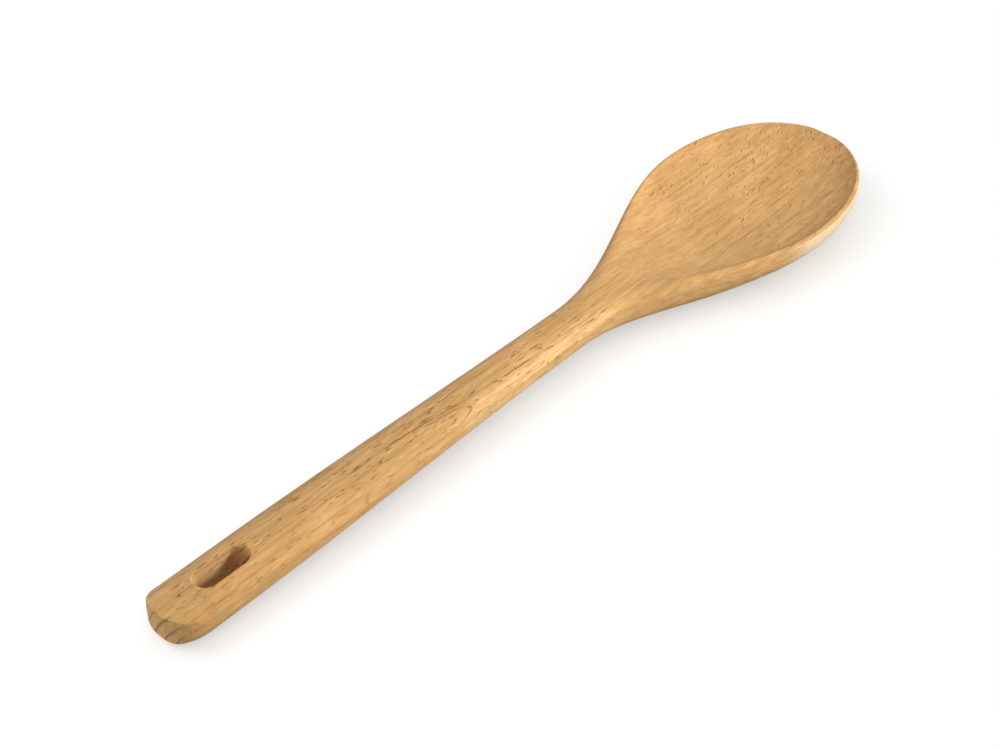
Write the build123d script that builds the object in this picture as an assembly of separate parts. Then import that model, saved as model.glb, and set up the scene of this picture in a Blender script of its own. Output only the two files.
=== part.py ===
from build123d import *
from math import sqrt
import os

# Wooden cooking spoon, cut and sanded from one board of beech.
# X runs along the spoon with the bowl at +X, and Z is up.
# It rests on the plane z = 0, with the origin below the middle of its length.

# Lengths along the spoon, millimetres
handle_length = 171.0
flare_length = 89.3
tip_length = 44.7

# Handle, from its rounded end to the neck
end_width = 20.5
end_thickness = 12.2
neck_width = 14.8
neck_thickness = 10.6
taper_start = 31.0
end_round_length = 13.2
end_edge_length = 1.6
end_underside_length = 3.4
end_rest_length = 8.0

# Bowl, outside
bowl_width = 65.0
rim_height = 13.7
rim_edge = 1.2
rim_width = 0.7
rim_run = 78.0
belly_run = 51.0
underside_rise_length = 85.0

# Bowl, hollow
hollow_depth = 7.6
hollow_rise = 3.2
scoop_gap = 6.0
scoop_level_length = 13.3
scoop_lead = 0.3

# Hanging slot through the handle
slot_length = 18.9
slot_width = 7.8
slot_inset = 14.6
slot_edge = 0.7

# Depth that the board's lower face takes off the underside where the spoon rests
board_flat = 0.08

# Overrun of the cuts
overrun = 2.0

# How much squarer than an ellipse each rounded end is, where 0 is an ellipse
end_squareness_share = 0.35
end_edge_squareness_share = 0.5
tip_squareness_share = 0.1

# Rounded ends stop in a small facet, just short of a point
facet_share = 0.9997

# Fullness of a quarter of a section, where 0.55 is an ellipse and 1 is square
handle_top_share = 0.69
handle_underside_share = 0.71
handle_end_share = 0.95
rim_share = 0.93
bowl_underside_share = 0.84
hollow_share = 0.552

# Height of the handle's widest line
handle_middle_share = 0.48

# Stations of the sections, each a share of its stretch of the spoon
end_station_shares = (0.0, 0.01, 0.03, 0.07, 0.14, 0.24, 0.4, 0.6, 0.8, 0.97, 1.0)
handle_station_shares = (0.0, 0.16, 0.28, 0.4, 0.52, 0.64, 0.76, 0.88, 1.0)
flare_station_shares = (0.0, 0.04, 0.14, 0.26, 0.38, 0.5, 0.62, 0.74, 0.86, 0.97, 1.0)
tip_station_shares = (0.0, 0.03, 0.2, 0.4, 0.57, 0.71, 0.82, 0.9, 0.955, 0.985, 1.0)
scoop_station_shares = (0.0, 0.2, 0.4, 0.6, 0.8, 1.0)

spoon_length = handle_length + flare_length + tip_length
widest_place = handle_length + flare_length


def ease(travel):
    """Smooth step from 0 to 1 that starts and ends level."""
    share = min(max(travel, 0.0), 1.0)
    return share * share * (3.0 - 2.0 * share)


def blend(start, stop, travel):
    """Size between two others, eased at both."""
    return start + (stop - start) * ease(travel)


def settle(travel):
    """Rises from 0 at a slope and arrives level at 1."""
    share = min(max(travel, 0.0), 1.0)
    return share * (2.0 - share)


def rounding(travel, squareness_share):
    """Falls from 1 almost to 0, as a quarter of an ellipse does, as travel goes from 0 to 1."""
    share = min(max(travel, 0.0), 1.0) * facet_share
    power = 2.0 + squareness_share
    return (1.0 - share ** power) ** (1.0 / power)


def half_width(place):
    """Half the width in plan at a place measured from the end of the handle."""
    handle = blend(end_width, neck_width, (place - taper_start) / (handle_length - taper_start))
    flare = blend(0.0, bowl_width - neck_width, (place - handle_length) / flare_length)
    end = rounding(1.0 - place / end_round_length, end_squareness_share)
    tip = rounding((place - widest_place) / tip_length, tip_squareness_share)
    return (handle + flare) / 2.0 * end * tip


def section(place, half, underside, middle, top, underside_share, top_share):
    """Closed section across the spoon, of four quarters that meet level and upright."""
    quarters = []
    for edge, height, share in (
        (half, top, top_share),
        (-half, top, top_share),
        (-half, underside, underside_share),
        (half, underside, underside_share),
    ):
        quarter = Bezier(
            (place, edge, middle),
            (place, edge, middle + (height - middle) * share),
            (place, edge * share, height),
            (place, 0.0, height),
        )
        quarters.append(quarter)
    return Face(Wire(quarters))


def body_section(place):
    """Section of the uncut spoon."""
    bowl = ease((place - handle_length) / belly_run)
    rim = ease((place - handle_length) / rim_run)
    arch_travel = (place - end_rest_length) / (handle_length - end_rest_length)
    arch = (rim_height - neck_thickness) * settle(arch_travel)
    underside = arch * (1.0 - bowl) - board_flat
    top = blend(end_thickness, rim_height, place / handle_length)
    handle_middle = underside + (top - underside) * handle_middle_share
    middle = handle_middle + (rim_height - rim_edge - handle_middle) * rim
    end = rounding(1.0 - place / end_edge_length, end_edge_squareness_share)
    tip = rounding((place - spoon_length + rim_edge) / rim_edge, 0.0)
    lift_start = spoon_length - underside_rise_length
    lift = rounding((place - lift_start) / underside_rise_length, 0.0)
    end_underside = rounding(1.0 - place / end_underside_length, 0.0)
    wall = 1.0 - rounding(1.0 - place / end_round_length, end_squareness_share) ** 4
    underside_share = handle_underside_share + (bowl_underside_share - handle_underside_share) * bowl
    top_share = handle_top_share + (rim_share - handle_top_share) * rim
    return section(
        place,
        half_width(place),
        middle + (underside - middle) * end_underside * lift,
        middle,
        middle + (top - middle) * end * tip,
        underside_share,
        top_share + (handle_end_share - top_share) * wall,
    )


def stretch(start, length, shares):
    """Places at the given shares of a stretch."""
    return [start + length * share for share in shares]


def lofted(start, length, shares, ruled=False):
    """Stretch of the uncut spoon between its first and last stations."""
    return loft([body_section(place) for place in stretch(start, length, shares)], ruled=ruled)


# Uncut spoon: the rounded end, the long gentle taper, the flare to the widest place and the tip
body = lofted(0.0, end_round_length, end_station_shares)
body += lofted(end_round_length, handle_length - end_round_length, handle_station_shares, True)
body += lofted(handle_length, flare_length, flare_station_shares)
body += lofted(widest_place, tip_length, tip_station_shares)

# The board's lower face leaves a small flat under the belly and one under the handle's end
below_board = Pos(0.0, 0.0, -overrun) * Box(
    spoon_length, bowl_width, overrun, align=(Align.MIN, Align.CENTER, Align.MIN)
)
body = body - below_board

# Scoop that hollows the bowl and fades out over the neck
scoop_reach = 1.0 / sqrt(1.0 - (hollow_rise / (hollow_rise + hollow_depth)) ** 2)
scoop_start = handle_length + scoop_gap
scoop_run = flare_length - scoop_gap - scoop_level_length
scoop_tip_length = (tip_length - rim_width) * scoop_reach


def scoop_section(place):
    """Section of the round-bottomed scoop, which is as wide as the bowl's inside and flattens towards the neck."""
    sunk = ease((place - scoop_start) / scoop_run)
    tip = rounding((place - widest_place) / scoop_tip_length, tip_squareness_share)
    lead = blend(scoop_lead, 0.0, (place - scoop_start) / scoop_run)
    centre = rim_height + lead + hollow_rise * sunk + scoop_lead
    drop = ((hollow_rise + hollow_depth) * sunk + scoop_lead) * tip
    half = (half_width(min(place, widest_place)) - rim_width) * scoop_reach * tip
    return section(place, half, centre - drop, centre, centre + drop, hollow_share, hollow_share)


scoop_places = stretch(scoop_start, scoop_run, scoop_station_shares)
scoop_places += stretch(widest_place, scoop_tip_length, tip_station_shares)
scoop = loft([scoop_section(place) for place in scoop_places])
spoon = body - scoop

# Hanging slot, with its edges broken
slot = Pos(slot_inset + slot_length / 2.0, 0.0, -overrun) * extrude(
    SlotOverall(slot_length, slot_width), end_thickness + overrun + overrun
)
spoon = spoon - slot
slot_rims = [
    edge
    for edge in spoon.edges()
    if slot_inset - slot_edge < edge.center().X < slot_inset + slot_length + slot_edge
    and abs(edge.center().Y) < slot_width / 2.0 + slot_edge
    and not edge.geom_type == GeomType.LINE
]
spoon = chamfer(slot_rims, slot_edge)
spoon = Pos(-spoon_length / 2.0, 0.0, 0.0) * spoon

os.makedirs("parts", exist_ok=True)
export_step(spoon, "parts/spoon.step")
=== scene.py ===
from functools import partial
from math import cos, pi, radians, sin, sqrt
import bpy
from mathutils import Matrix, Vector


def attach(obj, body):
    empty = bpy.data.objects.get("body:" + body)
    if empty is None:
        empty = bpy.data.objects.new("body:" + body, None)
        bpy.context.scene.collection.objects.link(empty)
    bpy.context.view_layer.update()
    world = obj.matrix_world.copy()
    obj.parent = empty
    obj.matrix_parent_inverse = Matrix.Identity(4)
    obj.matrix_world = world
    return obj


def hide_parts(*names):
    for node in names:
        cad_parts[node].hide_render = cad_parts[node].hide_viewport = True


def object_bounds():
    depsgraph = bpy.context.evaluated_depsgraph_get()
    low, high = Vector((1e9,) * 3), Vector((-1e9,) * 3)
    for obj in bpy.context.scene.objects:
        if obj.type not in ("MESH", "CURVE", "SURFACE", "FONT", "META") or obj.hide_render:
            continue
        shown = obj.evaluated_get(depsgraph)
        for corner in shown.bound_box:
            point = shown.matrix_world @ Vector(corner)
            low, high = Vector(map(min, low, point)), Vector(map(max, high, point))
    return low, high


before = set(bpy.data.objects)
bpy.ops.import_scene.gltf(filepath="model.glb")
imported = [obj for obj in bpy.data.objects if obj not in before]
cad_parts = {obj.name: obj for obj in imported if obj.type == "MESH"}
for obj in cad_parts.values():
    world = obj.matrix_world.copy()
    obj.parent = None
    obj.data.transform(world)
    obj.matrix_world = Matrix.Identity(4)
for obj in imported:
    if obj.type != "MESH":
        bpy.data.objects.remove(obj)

from types import SimpleNamespace

import bpy
from mathutils import Matrix, Vector

mm = 0.001
cadBox = [list(corner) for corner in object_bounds()]
spoonLength, bowlWidth, rimHeight = (high - low for low, high in zip(*cadBox))
print("frame loaded, spoon in mm:", *(round(side / mm, 1) for side in (spoonLength, bowlWidth, rimHeight)))


# small helpers for node trees
def addNode(tree, kind, inputs=None, **settings):
    made = tree.nodes.new(kind)
    for name, value in settings.items():
        setattr(made, name, value)
    for key, value in (inputs or {}).items():
        if isinstance(value, bpy.types.NodeSocket):
            tree.links.new(value, made.inputs[key])
        else:
            made.inputs[key].default_value = value
    return made


def calc(tree, operation, *values):
    return addNode(tree, "ShaderNodeMath", dict(enumerate(values)), operation=operation).outputs[0]


def ramp(tree, value, start, stop, low=0.0, high=1.0, kind="SMOOTHSTEP"):  # eased step from low to high
    spans = {"Value": value, "From Min": start, "From Max": stop, "To Min": low, "To Max": high}
    return addNode(tree, "ShaderNodeMapRange", spans, interpolation_type=kind).outputs["Result"]


def mixed(tree, share, low, high):  # low at share 0, high at share 1
    return calc(tree, "MULTIPLY_ADD", share, calc(tree, "SUBTRACT", high, low), low)


# spoon blank: rings of points from the handle's end to the bowl's tip, sized by the place along it
spoonValues = {
    "flareLength": 89.3 * mm, "tipLength": 44.7 * mm,
    "endWidth": 20.5 * mm, "endThickness": 12.2 * mm, "neckWidth": 14.8 * mm, "neckThickness": 10.6 * mm,
    "taperStart": 31.0 * mm, "endRound": 13.2 * mm, "endEdge": 0.35 * mm, "endUnder": 3.4 * mm,
    "endRest": 8.0 * mm, "bellyRun": 51.0 * mm, "undersideRise": 85.0 * mm, "boardFlat": 0.08 * mm,
    "rimRun": 78.0 * mm, "rimEdge": 1.0 * mm, "rimWidth": 1.0 * mm, "tipRimWidth": 0.15 * mm,
    "tipRise": 0.6 * mm, "tipRiseFrom": 12.0 * mm, "twist": 0.018,
    "hollowDepth": 7.6 * mm, "hollowRise": 3.2 * mm, "hollowShift": 0.5 * mm, "shiftFade": (0.2, 0.8),
    "scoopRun": 76.0 * mm, "scoopLead": 2.0 * mm, "neckBlend": 3.0 * mm, "rimBlend": 0.2 * mm,
    "endPower": 2.35, "endEdgePower": 2.4, "tipPower": 2.1,  # 2 is an ellipse, and more is squarer
    "handleTop": 2.51, "handleUnder": 2.6, "bowlTop": 5.0, "bowlUnder": 3.39,
    "wallPower": 6.0, "wallOver": 1.1, "wallBlend": (0.05, 0.45), "middle": 0.48,
    "sandDepth": 0.05 * mm, "sandSize": 14.0 * mm,
    "endCrowd": 0.95, "topPart": 0.66, "openUntil": 0.9995, "crownFrom": 0.9999, "weld": 0.0001 * mm,
}
ringCounts = {"rings": 420, "around": 180}
crispAngle = radians(50)  # edges that turn by more than this stay crisp


def arc(tree, travel, power):  # falls from 1 to 0 as a quarter of an ellipse does, or one squarer than that
    rest = calc(tree, "SUBTRACT", 1.0, calc(tree, "POWER", calc(tree, "MINIMUM", travel, 1.0), power))
    return calc(tree, "POWER", calc(tree, "MAXIMUM", rest, 0.0), calc(tree, "DIVIDE", 1.0, power))


def rounding(tree, travel, power):  # the same, and 1 before it starts
    return arc(tree, ramp(tree, travel, 0.0, 1.0, kind="LINEAR"), power)


def flat(values):  # pairs become two inputs, at the start and at the end of their stretch
    whole = {name: value for name, value in values.items() if not isinstance(value, tuple)}
    for name, value in values.items():
        if isinstance(value, tuple):
            whole[name + "Start"], whole[name + "Stop"] = value
    return whole


def blankTree(values, counts):
    tree = bpy.data.node_groups.new("spoonBlank", "GeometryNodeTree")
    tree.interface.new_socket(name="Geometry", in_out="OUTPUT", socket_type="NodeSocketGeometry")
    kinds = dict.fromkeys(counts, "NodeSocketInt")
    kinds.update(dict.fromkeys(values, "NodeSocketFloat"))
    kinds["wood"] = "NodeSocketMaterial"
    identifiers = {}
    for name, kind in kinds.items():
        socket = tree.interface.new_socket(name=name, in_out="INPUT", socket_type=kind)
        identifiers[name] = socket.identifier
    given = tree.nodes.new("NodeGroupInput").outputs
    do = partial(calc, tree)

    grid = addNode(tree, "GeometryNodeMeshGrid", {
        "Size X": 1.0, "Size Y": 1.0, "Vertices X": given["rings"], "Vertices Y": given["around"]})
    flatPlace = tree.nodes.new("GeometryNodeInputPosition").outputs[0]
    where = addNode(tree, "ShaderNodeSeparateXYZ", {0: flatPlace})
    along = do("ADD", where.outputs["X"], 0.5)
    around = do("ADD", where.outputs["Y"], 0.5)

    # place along the spoon, with the rings crowded at both ends
    crowding = do("DIVIDE", do("SINE", do("MULTIPLY", along, 2 * pi)), 2 * pi)
    crowding = do("MULTIPLY", given["endCrowd"], crowding)
    place = do("MULTIPLY", given["spoonLength"], do("SUBTRACT", along, crowding))
    widest = do("SUBTRACT", given["spoonLength"], given["tipLength"])
    neck = do("SUBTRACT", widest, given["flareLength"])

    # outline in plan
    handle = ramp(tree, place, given["taperStart"], neck, given["endWidth"], given["neckWidth"])
    flare = ramp(tree, place, neck, widest, 0.0, do("SUBTRACT", given["bowlWidth"], given["neckWidth"]))
    fullHalf = do("MULTIPLY", do("ADD", handle, flare), 0.5)
    endPlan = rounding(tree, do("SUBTRACT", 1.0, do("DIVIDE", place, given["endRound"])), given["endPower"])
    tipTravel = do("DIVIDE", do("SUBTRACT", place, widest), given["tipLength"])
    isOpen = do("LESS_THAN", along, given["openUntil"])  # the last ring closes to a point
    tipPlan = do("MULTIPLY", isOpen, rounding(tree, tipTravel, given["tipPower"]))
    half = do("MULTIPLY", fullHalf, do("MULTIPLY", endPlan, tipPlan))

    # heights of the underside, the widest line and the top, which rises a little more towards the tip
    tipRise = ramp(tree, place, do("ADD", widest, given["tipRiseFrom"]), given["spoonLength"])
    tipRise = do("MULTIPLY", given["tipRise"], tipRise)
    bowl = ramp(tree, place, neck, do("ADD", neck, given["bellyRun"]))
    archTravel = ramp(tree, place, given["endRest"], neck, kind="LINEAR")
    arch = do("MULTIPLY", archTravel, do("SUBTRACT", 2.0, archTravel))
    arch = do("MULTIPLY", arch, do("SUBTRACT", given["rimHeight"], given["neckThickness"]))
    underside = do("SUBTRACT", do("MULTIPLY", arch, do("SUBTRACT", 1.0, bowl)), given["boardFlat"])
    top = do("ADD", tipRise, ramp(tree, place, 0.0, neck, given["endThickness"], given["rimHeight"]))
    middle = mixed(tree, given["middle"], underside, top)
    brim = ramp(tree, place, neck, do("ADD", neck, given["rimRun"]))
    middle = mixed(tree, brim, middle, do("SUBTRACT", top, given["rimEdge"]))
    endTravel = do("SUBTRACT", 1.0, do("DIVIDE", place, given["endEdge"]))
    endSide = rounding(tree, endTravel, given["endEdgePower"])
    endUnder = rounding(tree, do("SUBTRACT", 1.0, do("DIVIDE", place, given["endUnder"])), 2.0)
    edgeTravel = do("SUBTRACT", do("ADD", place, given["rimEdge"]), given["spoonLength"])
    tipSide = do("MULTIPLY", isOpen, rounding(tree, do("DIVIDE", edgeTravel, given["rimEdge"]), 2.0))
    liftTravel = do("SUBTRACT", do("ADD", place, given["undersideRise"]), given["spoonLength"])
    lift = do("MULTIPLY", isOpen, rounding(tree, do("DIVIDE", liftTravel, given["undersideRise"]), 2.0))
    low = do("MULTIPLY", do("SUBTRACT", underside, middle), do("MULTIPLY", endUnder, lift))
    high = do("MULTIPLY", do("SUBTRACT", top, middle), do("MULTIPLY", endSide, tipSide))

    # position around the section: across the top first, then back along the underside
    onTop = do("LESS_THAN", around, given["topPart"])
    topTravel = do("DIVIDE", around, given["topPart"])
    underPart = do("SUBTRACT", 1.0, given["topPart"])
    underTravel = do("DIVIDE", do("SUBTRACT", around, given["topPart"]), underPart)
    travel = mixed(tree, onTop, underTravel, topTravel)
    side = do("SUBTRACT", do("MULTIPLY", 2.0, do("GREATER_THAN", travel, 0.5)), 1.0)
    side = do("MULTIPLY", side, do("SUBTRACT", do("MULTIPLY", 2.0, onTop), 1.0))
    inward = do("SUBTRACT", 1.0, do("ABSOLUTE", do("SUBTRACT", do("MULTIPLY", 2.0, travel), 1.0)))
    fullness = mixed(tree, onTop, mixed(tree, bowl, given["handleUnder"], given["bowlUnder"]),
                     mixed(tree, brim, given["handleTop"], given["bowlTop"]))
    angle = do("MULTIPLY", inward, pi / 2)
    across = do("POWER", do("MAXIMUM", do("COSINE", angle), 0.0), do("DIVIDE", 2.0, fullness))
    across = do("MULTIPLY", across, do("LESS_THAN", inward, given["crownFrom"]))

    # the handle's end is cut round with an upright wall, so its dome is the middle part of the full one
    dome = arc(tree, do("MULTIPLY", across, endPlan), fullness)
    wall = do("MULTIPLY", arc(tree, across, given["wallPower"]), given["wallOver"])
    softening = ramp(tree, place, 0.0, given["endRound"], given["wallBlendStart"], given["wallBlendStop"])
    cutDome = do("MAXIMUM", do("SMOOTH_MIN", dome, wall, softening), 0.0)
    cut = do("MULTIPLY", do("LESS_THAN", place, given["endRound"]), onTop)
    up = mixed(tree, cut, arc(tree, across, fullness), cutDome)
    y = do("MULTIPLY", side, do("MULTIPLY", half, across))
    z = do("MULTIPLY_ADD", up, mixed(tree, onTop, low, high), middle)

    # scoop that hollows the bowl, as wide as the bowl's inside, and fades out over the neck
    reach = do("DIVIDE", given["hollowRise"], do("ADD", given["hollowRise"], given["hollowDepth"]))
    reach = do("DIVIDE", 1.0, do("SQRT", do("SUBTRACT", 1.0, do("POWER", reach, 2.0))))
    sunk = ramp(tree, place, neck, do("ADD", neck, given["scoopRun"]))
    lead = do("MULTIPLY", given["scoopLead"], do("SUBTRACT", 1.0, sunk))
    centre = do("ADD", given["rimHeight"], do("ADD", lead, do("MULTIPLY", given["hollowRise"], sunk)))
    centre = do("ADD", centre, tipRise)
    drop = do("MULTIPLY", do("ADD", given["hollowRise"], given["hollowDepth"]), sunk)
    insideHalf = do("MULTIPLY", do("SUBTRACT", fullHalf, given["rimWidth"]), reach)
    scoopTip = do("MULTIPLY", do("SUBTRACT", given["tipLength"], given["tipRimWidth"]), reach)
    tipShare = do("MAXIMUM", do("DIVIDE", do("SUBTRACT", place, widest), scoopTip), 0.0)
    tipShare = do("POWER", tipShare, given["tipPower"])
    shiftLeft = ramp(tree, tipTravel, given["shiftFadeStart"], given["shiftFadeStop"], 1.0, 0.0)
    shift = do("MULTIPLY", do("MULTIPLY", given["hollowShift"], sunk), shiftLeft)
    fromMiddle = do("ABSOLUTE", do("SUBTRACT", y, shift))
    sideShare = do("POWER", do("DIVIDE", fromMiddle, insideHalf), given["tipPower"])
    outward = do("POWER", do("ADD", tipShare, sideShare), do("DIVIDE", 2.0, given["tipPower"]))
    roundness = do("SQRT", do("MAXIMUM", do("SUBTRACT", 1.0, outward), 0.0))
    scoop = do("SUBTRACT", centre, do("MULTIPLY", drop, roundness))
    softness = ramp(tree, place, neck, widest, given["neckBlend"], given["rimBlend"])
    hollowed = do("SMOOTH_MIN", z, scoop, softness)
    z = mixed(tree, onTop, z, hollowed)
    z = do("MAXIMUM", z, 0.0)  # the board's lower face leaves two small resting flats
    twist = ramp(tree, place, do("SUBTRACT", widest, given["tipLength"]), given["spoonLength"])
    twist = do("MULTIPLY", given["twist"], twist)
    twist = do("MULTIPLY", twist, ramp(tree, z, 0.0, given["rimHeight"], kind="LINEAR"))
    z = do("SUBTRACT", z, do("MULTIPLY", twist, y))  # the bowl has warped a little, its near side up

    x = do("SUBTRACT", place, do("MULTIPLY", given["spoonLength"], 0.5))
    shaped = addNode(tree, "GeometryNodeSetPosition", {
        "Geometry": grid.outputs["Mesh"],
        "Position": addNode(tree, "ShaderNodeCombineXYZ", {0: x, 1: y, 2: z}).outputs[0]})
    closed = addNode(tree, "GeometryNodeMergeByDistance", {
        "Geometry": shaped.outputs[0], "Distance": given["weld"]})

    # hand sanding leaves the surface very slightly uneven
    position = tree.nodes.new("GeometryNodeInputPosition").outputs[0]
    uneven = addNode(tree, "ShaderNodeTexNoise", {
        "Vector": position, "Scale": do("DIVIDE", 1.0, given["sandSize"]), "Detail": 1.0})
    depth = do("MULTIPLY", do("SUBTRACT", uneven.outputs[0], 0.5), given["sandDepth"])
    offset = addNode(tree, "ShaderNodeVectorMath", {
        0: tree.nodes.new("GeometryNodeInputNormal").outputs[0], "Scale": depth}, operation="SCALE")
    sanded = addNode(tree, "GeometryNodeSetPosition", {
        "Geometry": closed.outputs[0], "Offset": offset.outputs[0]})
    smooth = addNode(tree, "GeometryNodeSetShadeSmooth", {"Geometry": sanded.outputs[0]})
    real = addNode(tree, "GeometryNodeRealizeInstances", {0: smooth.outputs[0]})
    wooden = addNode(tree, "GeometryNodeSetMaterial", {
        "Geometry": real.outputs[0], "Material": given["wood"]})
    addNode(tree, "NodeGroupOutput", {0: wooden.outputs[0]})
    return tree, identifiers


# slot for a hook or a peg, cut right through the handle with its rims eased
slotValues = {
    "length": 18.9 * mm, "width": 7.8 * mm, "inset": 14.6 * mm,
    "topRim": 11.35 * mm, "underRim": 1.4 * mm, "ease": 0.9 * mm, "easeBend": 0.75,
    "overrun": 2.0 * mm, "arcPoints": 40, "rimSteps": 8,
}


def makeSlotCutter(values, material):
    radius = values["width"] / 2
    straight = values["length"] / 2 - radius
    centre = -spoonLength / 2 + values["inset"] + values["length"] / 2
    rows = [(-values["overrun"], 1.0)]
    for step in range(values["rimSteps"]):
        share = 1 - step / values["rimSteps"]
        rows.append((values["underRim"] - values["ease"] * share, share))
    for step in range(values["rimSteps"] + 1):
        share = step / values["rimSteps"]
        rows.append((values["topRim"] + values["ease"] * share, share))
    rows.append((rimHeight + values["overrun"], 1.0))
    points, faces = [], []
    around = 2 * values["arcPoints"]
    for height, share in rows:
        swell = radius + values["ease"] * (1 - sqrt(1 - share * share * values["easeBend"]))
        for index in range(around):
            turn = pi * (index % values["arcPoints"]) / (values["arcPoints"] - 1) - pi / 2
            end = 1 if index < values["arcPoints"] else -1
            points.append((centre + end * (straight + swell * cos(turn)), end * swell * sin(turn), height))
    for row in range(len(rows) - 1):
        for index in range(around):
            other = (index + 1) % around
            base = row * around
            faces.append((base + index, base + other, base + around + other, base + around + index))
    faces.append(tuple(reversed(range(around))))
    faces.append(tuple(range(len(points) - around, len(points))))
    mesh = bpy.data.meshes.new("slotCutter")
    mesh.from_pydata(points, [], faces)
    mesh.materials.append(material)
    cutter = bpy.data.objects.new("slotCutter", mesh)
    bpy.context.scene.collection.objects.link(cutter)
    return cutter


def makeSpoon(material):
    sizes = {"spoonLength": spoonLength, "bowlWidth": bowlWidth, "rimHeight": rimHeight, **flat(spoonValues)}
    tree, identifiers = blankTree(sizes, ringCounts)
    blank = bpy.data.objects.new("spoonBlank", bpy.data.meshes.new("spoonBlank"))
    blank.data.materials.append(material)
    bpy.context.scene.collection.objects.link(blank)
    modifier = blank.modifiers.new("blank", "NODES")
    modifier.node_group = tree
    for name, value in {**ringCounts, **sizes, "wood": material}.items():
        modifier[identifiers[name]] = value
    cutter = makeSlotCutter(slotValues, material)
    cut = blank.modifiers.new("slot", "BOOLEAN")
    cut.operation = "DIFFERENCE"
    cut.solver = "EXACT"
    cut.object = cutter
    evaluated = blank.evaluated_get(bpy.context.evaluated_depsgraph_get())
    mesh = bpy.data.meshes.new_from_object(evaluated)
    mesh.materials.clear()
    mesh.materials.append(material)
    mesh.polygons.foreach_set("material_index", [0] * len(mesh.polygons))
    spoon = bpy.data.objects.new("spoonBody", mesh)
    bpy.context.scene.collection.objects.link(spoon)
    for helper in (blank, cutter):
        bpy.data.objects.remove(helper)
    mesh.polygons.foreach_set("use_smooth", [True] * len(mesh.polygons))
    mesh.set_sharp_from_angle(angle=crispAngle)
    print("spoon meshed,", len(mesh.polygons), "faces")
    return spoon


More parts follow.
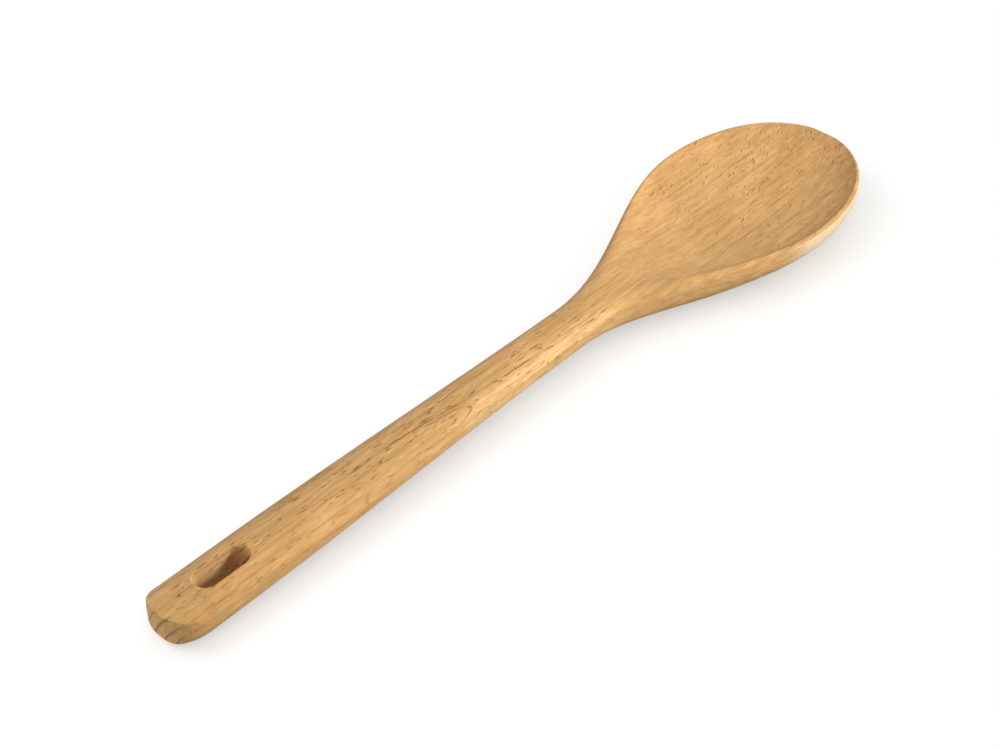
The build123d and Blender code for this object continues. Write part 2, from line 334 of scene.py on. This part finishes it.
# beech, cut from a log whose pith runs along the spoon, below and beside it; lengths and places in mm
beechValues = {
    "pith": (-33.0, -14.0),                              # across and up
    "bendSize": (80.0, 26.0, 26.0), "bendDepth": 3.4,
    "waveSize": (11.0, 4.5, 4.5), "waveDepth": 1.1,
    "ringSpacing": 3.5, "ringUneven": 7.0, "unevenSize": (270.0, 7.0, 1.0),
    "ringRise": (0.688, 0.94), "ringFall": (0.964, 1.0),  # where in a ring its dark line comes and goes
    "ringDepth": 0.24, "endRingDepth": 0.75, "ringFaint": 0.3, "driftSpan": (0.4, 0.6),
    "leanFrom": 15.0, "lean": 0.0021,                    # strokes lean to one side beyond a place
    "strokeSize": (5.2, 1.2, 1.5), "strokeShare": 0.54, "strokeDepth": 0.95, "strokeEdge": (0.12, 0.34),
    "strokeBeside": 0.48, "paleEdge": (0.12, 0.4), "loneShare": 0.32, "crowdSpan": (0.42, 0.56),
    "handleShare": 0.8,
    "calmFrom": (15.0, 40.0), "calmTo": (72.0, 98.0), "calmShare": 0.3,  # fewer from neck to hollow
    "nearSide": (-9.0, -4.5), "nearShare": 0.6,          # and not so many on the handle's near side
    "fleckSize": (3.0, 0.85, 1.2), "fleckShare": 0.34, "fleckDepth": 0.64, "fleckEdge": (0.15, 0.45),
    "spotOnset": 0.1, "spotFaintest": 0.35,
    "figureSize": (24.0, 2.4, 2.4), "figureStep": 0.07, "figureLine": 0.02, "figureDepth": 0.8,
    "figureBreak": (7.0, 1.8, 1.8), "figureBreakSpan": (0.44, 0.62), "bowlFigure": 0.6,
    "streakSize": (22.0, 1.6, 1.6), "streakSpan": (0.3, 0.7), "streakDepth": 0.7,
    "fibreSize": (9.0, 0.55, 0.55), "fibreSpan": (0.35, 0.7), "fibreDepth": 0.36,
    "threadSize": (5.0, 0.25, 0.25), "threadSpan": (0.4, 0.75), "threadDepth": 0.16,
    "veinPlace": -5.8, "veinRise": 6.2, "veinFrom": 40.0, "veinRun": 106.0,  # a dark line along the handle
    "veinStart": (-72.0, -62.0), "veinStop": (44.0, 66.0), "veinWidth": 0.5, "veinDepth": 0.85,
    "veinBreak": (3.6, 1.2, 1.2), "veinBreakSpan": (0.42, 0.58), "veinLow": 0.4,
    "loopMiddle": (-46.0, -6.6), "loopSize": (12.5, 3.6), "loopWidth": 0.09, "loopInner": 0.46,
    "loopFrom": (-0.35, -0.1), "loopBreakSpan": (0.48, 0.56), "loopDepth": 0.8, "loopTop": 13.0,
    "patchSize": (28.0, 10.0, 10.0), "patchSpan": (0.38, 0.62), "patchDepth": 0.75,
    "light": (0.76, 0.44, 0.18, 1.0), "tan": (0.62, 0.385, 0.15, 1.0), "warm": (0.50, 0.25, 0.07, 1.0),
    "dark": (0.21, 0.082, 0.006, 1.0), "darkest": 0.9,
    "pale": (0.95, 0.72, 0.44, 1.0), "paleDepth": 0.6, "bowlPale": 0.3,
    # the end grain made paler: painted light on the handle's end face, with a slight tint of its own
    "endGrainTintAndLight": (1.3, 1.26, 1.2, 1.0), "endGrainSpan": (0.45, 0.95), "endGrainMarks": 0.25,
    # painted sheen: a whitish reflection painted on the outer wall near the bowl's tip
    "paintedSheen": (0.96, 0.80, 0.55, 1.0), "paintedSheenDepth": 0.52, "paintedSheenFrom": (86.0, 103.0),
    "paintedSheenFacing": (-0.4, -0.1), "paintedSheenRise": (0.35, 0.75), "paintedSheenSide": (-0.35, 0.05),
    "nearEdge": (-6.5, -2.4),                            # where the handle's near side begins, across
    # painted shade darkens the handle's near side towards its end
    "endShade": (0.87, 0.84, 0.78, 1.0), "endShadeSpan": (-150.0, -85.0),
    # painted light makes the handle's near side paler along the neck
    "neckPaintedLight": (1.19, 1.31, 1.45, 1.0), "neckPaintedLightFrom": (-75.0, 0.0), "neckPaintedLightTo": (15.0, 45.0),
    "slotMiddle": -128.45, "slotReach": (9.2, 10.4), "slotSide": (3.8, 4.6), "slotFacing": (0.3, 0.6),
    # painted light: the slot's inner walls are made paler and less orange
    "slotPaintedLight": (1.02, 1.12, 1.35, 1.0),                 # the slot's inner walls
    "roughness": 0.42, "roughSpread": 0.1, "shine": 0.5,
    "reliefStrength": 0.3, "reliefDepth": 0.08, "strokeRelief": 0.3, "fibreRelief": 0.3,
}


def scaled(tree, x, y, z, size):  # point whose unit steps are the given sizes
    parts = [calc(tree, "DIVIDE", part, step) for part, step in zip((x, y, z), size)]
    return addNode(tree, "ShaderNodeCombineXYZ", dict(enumerate(parts))).outputs[0]


def noise(tree, point, detail=2.0, rough=0.5):
    return addNode(tree, "ShaderNodeTexNoise", {
        "Vector": point, "Scale": 1.0, "Detail": detail, "Roughness": rough})


def split(tree, pattern):  # three values that vary on their own, from the channels of a pattern's colour
    return addNode(tree, "ShaderNodeSeparateColor", {0: pattern.outputs["Color"]}).outputs


def swayed(tree, share, depth, base):  # base moved to either side by a noise
    return calc(tree, "MULTIPLY_ADD", calc(tree, "SUBTRACT", share, 0.5), depth, base)


def distance(tree, across, up):
    squares = [calc(tree, "MULTIPLY", part, part) for part in (across, up)]
    return calc(tree, "SQRT", calc(tree, "ADD", *squares))


def spots(tree, point, share, edge, values):  # soft spots in some of the cells, each of its own strength
    cells = addNode(tree, "ShaderNodeTexVoronoi", {"Vector": point, "Scale": 1.0})
    pick = split(tree, cells)
    chosen = ramp(tree, pick[0], 1 - share, 1 - share + values["spotOnset"])
    strength = ramp(tree, pick[1], 0.0, 1.0, values["spotFaintest"], 1.0)
    chosen = calc(tree, "MULTIPLY", chosen, strength)
    return calc(tree, "MULTIPLY", chosen, ramp(tree, cells.outputs["Distance"], *edge, 1.0, 0.0))


def blendColor(tree, share, low, high, kind="MIX"):
    mix = addNode(tree, "ShaderNodeMix", {0: share}, data_type="RGBA", blend_type=kind)
    for socket, value in ((mix.inputs[6], low), (mix.inputs[7], high)):
        if isinstance(value, bpy.types.NodeSocket):
            tree.links.new(value, socket)
        else:
            socket.default_value = value
    return mix.outputs[2]


def placeInWood(tree, values):  # where a point of the surface lies in the board, and which way it faces
    do, fade = partial(calc, tree), partial(ramp, tree)
    coordinates = tree.nodes.new("ShaderNodeTexCoord")
    inMm = addNode(tree, "ShaderNodeVectorMath", {0: coordinates.outputs["Object"], "Scale": 1 / mm},
                   operation="SCALE")
    straight = addNode(tree, "ShaderNodeSeparateXYZ", {0: inMm.outputs[0]}).outputs
    normal = addNode(tree, "ShaderNodeSeparateXYZ", {0: coordinates.outputs["Normal"]}).outputs
    x, y, z = straight["X"], straight["Y"], straight["Z"]
    waved = split(tree, noise(tree, scaled(tree, x, y, z, values["waveSize"]), detail=1.0))
    y = swayed(tree, waved[0], values["waveDepth"], y)
    z = swayed(tree, waved[1], values["waveDepth"], z)
    beyond = do("MAXIMUM", do("SUBTRACT", x, values["leanFrom"]), 0.0)
    return SimpleNamespace(
        x=x, y=y, z=z, straight=straight, normal=normal,
        leaned=do("SUBTRACT", y, do("MULTIPLY", do("MULTIPLY", beyond, beyond), values["lean"])),
        endGrain=fade(do("ABSOLUTE", normal["X"]), *values["endGrainSpan"]),
        inBowl=fade(x, *values["calmTo"]),
        patchy=split(tree, noise(tree, scaled(tree, x, y, z, values["patchSize"]))),
    )


def growthRings(tree, at, values):  # unevenly spaced, each ending in a thin darker line
    do, fade, between = partial(calc, tree), partial(ramp, tree), partial(mixed, tree)
    bent = split(tree, noise(tree, scaled(tree, at.x, at.y, at.z, values["bendSize"])))
    side = swayed(tree, bent[0], values["bendDepth"], do("SUBTRACT", at.y, values["pith"][0]))
    rise = swayed(tree, bent[1], values["bendDepth"], do("SUBTRACT", at.z, values["pith"][1]))
    radius = distance(tree, side, rise)
    uneven = noise(tree, scaled(tree, at.x, radius, 0.0, values["unevenSize"]), detail=1.0).outputs[0]
    grown = do("MULTIPLY_ADD", uneven, values["ringUneven"], radius)
    phase = do("FRACT", do("DIVIDE", grown, values["ringSpacing"]))
    line = do("MULTIPLY", fade(phase, *values["ringRise"]), fade(phase, *values["ringFall"], 1.0, 0.0))
    drift = fade(at.patchy[1], *values["driftSpan"])
    line = do("MULTIPLY", line, between(at.endGrain, between(drift, values["ringFaint"], 1.0), 1.0))
    return do("MULTIPLY", line, between(at.endGrain, values["ringDepth"], values["endRingDepth"]))


def rays(tree, at, lively, values):  # short dark strokes, each with a pale flake beside it, and flecks
    do, fade = partial(calc, tree), partial(ramp, tree)
    crowd = do("MULTIPLY", lively, fade(at.patchy[2], *values["crowdSpan"], values["loneShare"], 1.0))
    crowd = do("MULTIPLY", crowd, fade(at.x, *values["calmTo"], values["handleShare"], 1.0))
    size, share = values["strokeSize"], values["strokeShare"]
    strokes = spots(tree, scaled(tree, at.x, at.leaned, at.z, size), share, values["strokeEdge"], values)
    strokes = do("MULTIPLY", strokes, crowd)
    beside = do("ADD", at.leaned, values["strokeBeside"])
    pale = spots(tree, scaled(tree, at.x, beside, at.z, size), share, values["paleEdge"], values)
    pale = do("MULTIPLY", pale, do("MULTIPLY", crowd, fade(at.x, *values["calmTo"], 1.0, values["bowlPale"])))
    flecks = spots(tree, scaled(tree, at.x, at.leaned, at.z, values["fleckSize"]), values["fleckShare"],
                   values["fleckEdge"], values)
    return strokes, pale, do("MULTIPLY", flecks, lively)


def figureLines(tree, at, lively, values):  # wandering broken lines
    do, fade = partial(calc, tree), partial(ramp, tree)
    drawn = noise(tree, scaled(tree, at.x, at.y, at.z, values["figureSize"]), detail=1.5).outputs[0]
    contour = do("PINGPONG", do("SUBTRACT", drawn, 0.5), values["figureStep"])
    figure = fade(contour, 0.0, values["figureLine"], 1.0, 0.0)
    broken = noise(tree, scaled(tree, at.x, at.y, at.z, values["figureBreak"]), detail=1.0).outputs[0]
    figure = do("MULTIPLY", figure, do("MULTIPLY", fade(broken, *values["figureBreakSpan"]), lively))
    return do("MULTIPLY", figure, fade(at.x, *values["calmTo"], 1.0, values["bowlFigure"]))


def veinAndLoop(tree, at, values):  # one dark line that wanders along the handle, and a ring beside it
    do, fade = partial(calc, tree), partial(ramp, tree)
    travel = do("DIVIDE", do("SUBTRACT", at.x, values["veinFrom"]), values["veinRun"])
    middle = do("MULTIPLY_ADD", do("MULTIPLY", travel, travel), values["veinRise"], values["veinPlace"])
    vein = fade(do("ABSOLUTE", do("SUBTRACT", at.y, middle)), 0.0, values["veinWidth"], 1.0, 0.0)
    gaps = noise(tree, scaled(tree, at.x, at.y, at.z, values["veinBreak"])).outputs[0]
    breaks = fade(gaps, *values["veinBreakSpan"], values["veinLow"], 1.0)
    vein = do("MULTIPLY", vein, breaks)
    vein = do("MULTIPLY", vein, fade(at.x, *values["veinStart"]))
    vein = do("MULTIPLY", vein, fade(at.x, *values["veinStop"], 1.0, 0.0))

    # the loop is measured down over the near shoulder
    drop = do("MAXIMUM", do("SUBTRACT", values["loopTop"], at.z), 0.0)
    ahead = do("DIVIDE", do("SUBTRACT", at.x, values["loopMiddle"][0]), values["loopSize"][0])
    down = do("SUBTRACT", do("SUBTRACT", at.y, drop), values["loopMiddle"][1])
    size = distance(tree, ahead, do("DIVIDE", down, values["loopSize"][1]))
    outer = fade(do("ABSOLUTE", do("SUBTRACT", size, 1.0)), 0.0, values["loopWidth"], 1.0, 0.0)
    inner = do("ABSOLUTE", do("SUBTRACT", size, values["loopInner"]))
    inner = fade(inner, 0.0, values["loopWidth"], fade(gaps, *values["loopBreakSpan"]), 0.0)
    loop = do("MULTIPLY", do("MAXIMUM", outer, inner), fade(ahead, *values["loopFrom"]))
    return vein, do("MULTIPLY", loop, breaks)


def grain(tree, at, size, span, detail=3.0):
    return ramp(tree, noise(tree, scaled(tree, at.x, at.y, at.z, size), detail, rough=0.6).outputs[0], *span)


# painted light and shade, set to match the photograph: a painted sheen on the tip's outer side, painted shade
# and painted light on the handle's near side, and painted light on the slot's walls
def paintedLightAndShade(tree, at, color, values):
    do, fade = partial(calc, tree), partial(ramp, tree)
    # painted sheen on the outer wall near the bowl's tip, on its near side
    paintedSheenShare = do("MULTIPLY", fade(at.x, *values["paintedSheenFrom"]), fade(at.normal["X"], *values["paintedSheenFacing"]))
    paintedSheenShare = do("MULTIPLY", paintedSheenShare, fade(at.normal["Z"], *values["paintedSheenRise"], 1.0, 0.0))
    paintedSheenShare = do("MULTIPLY", paintedSheenShare, fade(at.normal["Y"], *values["paintedSheenSide"], 1.0, 0.0))
    color = blendColor(tree, do("MULTIPLY", paintedSheenShare, values["paintedSheenDepth"]), color, values["paintedSheen"])

    near = fade(at.y, *values["nearEdge"], 1.0, 0.0)
    # painted shade on the handle's near side towards its end
    endShare = do("MULTIPLY", near, fade(at.x, *values["endShadeSpan"], 1.0, 0.0))
    endShare = do("MULTIPLY", endShare, mixed(tree, at.endGrain, 1.0, 0.0))
    color = blendColor(tree, endShare, color, values["endShade"], "MULTIPLY")
    # painted light on the handle's near side along the neck
    neckShare = fade(at.x, *values["neckPaintedLightFrom"])
    neckShare = do("MULTIPLY", neckShare, fade(at.x, *values["neckPaintedLightTo"], 1.0, 0.0))
    color = blendColor(tree, do("MULTIPLY", near, neckShare), color, values["neckPaintedLight"], "MULTIPLY")

    # painted light on the slot's inner walls
    reach = do("ABSOLUTE", do("SUBTRACT", at.straight["X"], values["slotMiddle"]))
    aside = do("ABSOLUTE", at.straight["Y"])
    inSlot = fade(reach, *values["slotReach"], 1.0, 0.0)
    inSlot = do("MULTIPLY", inSlot, fade(aside, *values["slotSide"], 1.0, 0.0))
    inSlot = do("MULTIPLY", inSlot, fade(at.normal["Z"], *values["slotFacing"], 1.0, 0.0))
    return blendColor(tree, inSlot, color, values["slotPaintedLight"], "MULTIPLY")


def makeBeech(values):
    material = bpy.data.materials.new("oiledBeech")
    material.use_nodes = True
    tree = material.node_tree
    shader = tree.nodes["Principled BSDF"]
    do, fade, between = partial(calc, tree), partial(ramp, tree), partial(mixed, tree)
    at = placeInWood(tree, values)

    # the marks lie thinner over the neck and on the handle's near side
    lively = do("MAXIMUM", fade(at.x, *values["calmFrom"], 1.0, 0.0), at.inBowl)
    lively = fade(lively, 0.0, 1.0, values["calmShare"], 1.0)
    sideways = fade(at.y, *values["nearSide"], values["nearShare"], 1.0)
    lively = do("MULTIPLY", lively, do("MAXIMUM", sideways, at.inBowl))

    ring = growthRings(tree, at, values)
    strokes, pale, flecks = rays(tree, at, lively, values)
    figure = figureLines(tree, at, lively, values)
    vein, loop = veinAndLoop(tree, at, values)
    streak = grain(tree, at, values["streakSize"], values["streakSpan"])
    fibre = grain(tree, at, values["fibreSize"], values["fibreSpan"])
    thread = grain(tree, at, values["threadSize"], values["threadSpan"], detail=2.0)

    patches = do("MULTIPLY", fade(at.patchy[0], *values["patchSpan"]), values["patchDepth"])
    color = blendColor(tree, patches, values["light"], values["tan"])
    for share, depth in ((streak, "streakDepth"), (fibre, "fibreDepth")):
        color = blendColor(tree, do("MULTIPLY", share, values[depth]), color, values["warm"])
    pale = do("MULTIPLY", pale, between(at.endGrain, values["paleDepth"], 0.0))
    color = blendColor(tree, pale, color, values["pale"])

    # the darkest mark at a point holds
    shade = do("MULTIPLY", thread, values["threadDepth"])
    for share, depth in ((flecks, "fleckDepth"), (figure, "figureDepth"), (strokes, "strokeDepth"),
                         (vein, "veinDepth"), (loop, "loopDepth")):
        shade = do("MAXIMUM", shade, do("MULTIPLY", share, values[depth]))
    shade = do("MULTIPLY", shade, between(at.endGrain, 1.0, values["endGrainMarks"]))
    shade = do("MINIMUM", do("ADD", shade, ring), values["darkest"])
    color = blendColor(tree, shade, color, values["dark"])
    # painted light on the end grain, which makes the handle's end face paler, with a slight tint of its own
    color = blendColor(tree, at.endGrain, color, values["endGrainTintAndLight"], "MULTIPLY")
    tree.links.new(paintedLightAndShade(tree, at, color, values), shader.inputs["Base Color"])

    rough = do("MULTIPLY_ADD", shade, values["roughSpread"], values["roughness"])
    tree.links.new(rough, shader.inputs["Roughness"])
    shader.inputs["Specular IOR Level"].default_value = values["shine"]
    relief = do("MULTIPLY_ADD", fibre, values["fibreRelief"], do("MULTIPLY", shade, values["strokeRelief"]))
    bump = addNode(tree, "ShaderNodeBump", {
        "Strength": values["reliefStrength"], "Distance": values["reliefDepth"] * mm,
        "Height": do("SUBTRACT", 1.0, relief)})
    tree.links.new(bump.outputs[0], shader.inputs["Normal"])
    return material


beech = makeBeech(beechValues)
spoon = makeSpoon(beech)
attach(spoon, "root")
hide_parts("spoon")


# camera, beyond the handle's end on the near side, looking down and slantwise along the spoon
cameraValues = {
    "azimuth": radians(42.9),  # direction of view, from +X towards +Y
    "elevation": radians(41.55),
    "distance": 0.685,
    "target": (-0.0066, 0.0072, 0.0),
    "roll": radians(0.1),
    "lens": 78.4,
    "sensor": 36.0,
    "clipStart": 0.05,
}


def makeCamera(values):
    data = bpy.data.cameras.new("camera")
    data.lens = values["lens"]
    data.sensor_width = values["sensor"]
    data.clip_start = values["clipStart"]
    camera = bpy.data.objects.new("camera", data)
    bpy.context.scene.collection.objects.link(camera)
    forward = Vector((
        cos(values["azimuth"]) * cos(values["elevation"]),
        sin(values["azimuth"]) * cos(values["elevation"]),
        -sin(values["elevation"]),
    ))
    turn = forward.to_track_quat("-Z", "Y").to_matrix() @ Matrix.Rotation(values["roll"], 3, "Z")
    place = Vector(values["target"]) - forward * values["distance"]
    camera.matrix_world = Matrix.Translation(place) @ turn.to_4x4()
    bpy.context.scene.camera = camera


makeCamera(cameraValues)
print("camera placed")


# floor and light
stageValues = {
    "floorSize": 6.0, "floorColor": (0.885, 0.92, 0.92, 1.0), "floorRoughness": 0.9,
    "glow": 0.48, "glowColor": (1.0, 1.0, 1.0, 1.0),     # for the camera alone
    "worldColor": (1.0, 1.0, 1.0, 1.0), "worldStrength": 0.5, "backdropStrength": 1.0,
}
lampValues = {
    # the key lights the pieces that it names and not the floor, whose shadow comes from the back lamp and sky
    "key": {"place": (0.506, -0.755, 0.602), "size": 0.2, "power": 11.5, "only": ["spoonBody"]},
    "back": {"place": (-0.6, 0.86, 1.2), "size": 0.9, "power": 4.0, "only": []},
}


def makeFloor(values):
    half = values["floorSize"] / 2
    mesh = bpy.data.meshes.new("floor")
    corners = [(-half, -half, 0), (half, -half, 0), (half, half, 0), (-half, half, 0)]
    mesh.from_pydata(corners, [], [(0, 1, 2, 3)])
    floor = bpy.data.objects.new("floor", mesh)
    bpy.context.scene.collection.objects.link(floor)
    material = bpy.data.materials.new("paleFloor")
    material.use_nodes = True
    tree = material.node_tree
    shader = tree.nodes["Principled BSDF"]
    shader.inputs["Base Color"].default_value = values["floorColor"]
    shader.inputs["Roughness"].default_value = values["floorRoughness"]
    shader.inputs["Specular IOR Level"].default_value = 0.0
    shader.inputs["Emission Color"].default_value = values["glowColor"]
    ray = addNode(tree, "ShaderNodeLightPath").outputs["Is Camera Ray"]
    tree.links.new(calc(tree, "MULTIPLY", ray, values["glow"]), shader.inputs["Emission Strength"])
    mesh.materials.append(material)


def makeLamps(lamps):
    for name, values in lamps.items():
        data = bpy.data.lights.new(name, "AREA")
        data.energy = values["power"]
        data.size = values["size"]
        lamp = bpy.data.objects.new(name, data)
        bpy.context.scene.collection.objects.link(lamp)
        lamp.location = values["place"]
        lamp.rotation_euler = lamp.location.to_track_quat("Z", "Y").to_euler()  # turned to the origin
        if values["only"]:
            lit = bpy.data.collections.new(name + "Lit")
            for piece in values["only"]:
                lit.objects.link(bpy.data.objects[piece])
            lamp.light_linking.receiver_collection = lit
            lamp.visible_glossy = False  # the wood's shine is the pale room's, not the lamp's


def makeWorld(values):
    world = bpy.data.worlds.new("studio")
    world.use_nodes = True
    tree = world.node_tree
    background = tree.nodes["Background"]
    background.inputs["Color"].default_value = values["worldColor"]
    ray = addNode(tree, "ShaderNodeLightPath").outputs["Is Camera Ray"]
    strength = mixed(tree, ray, values["worldStrength"], values["backdropStrength"])
    tree.links.new(strength, background.inputs["Strength"])
    bpy.context.scene.world = world


makeFloor(stageValues)
makeLamps(lampValues)
makeWorld(stageValues)
bpy.context.scene.view_settings.view_transform = "Standard"
print("stage and lamps ready")
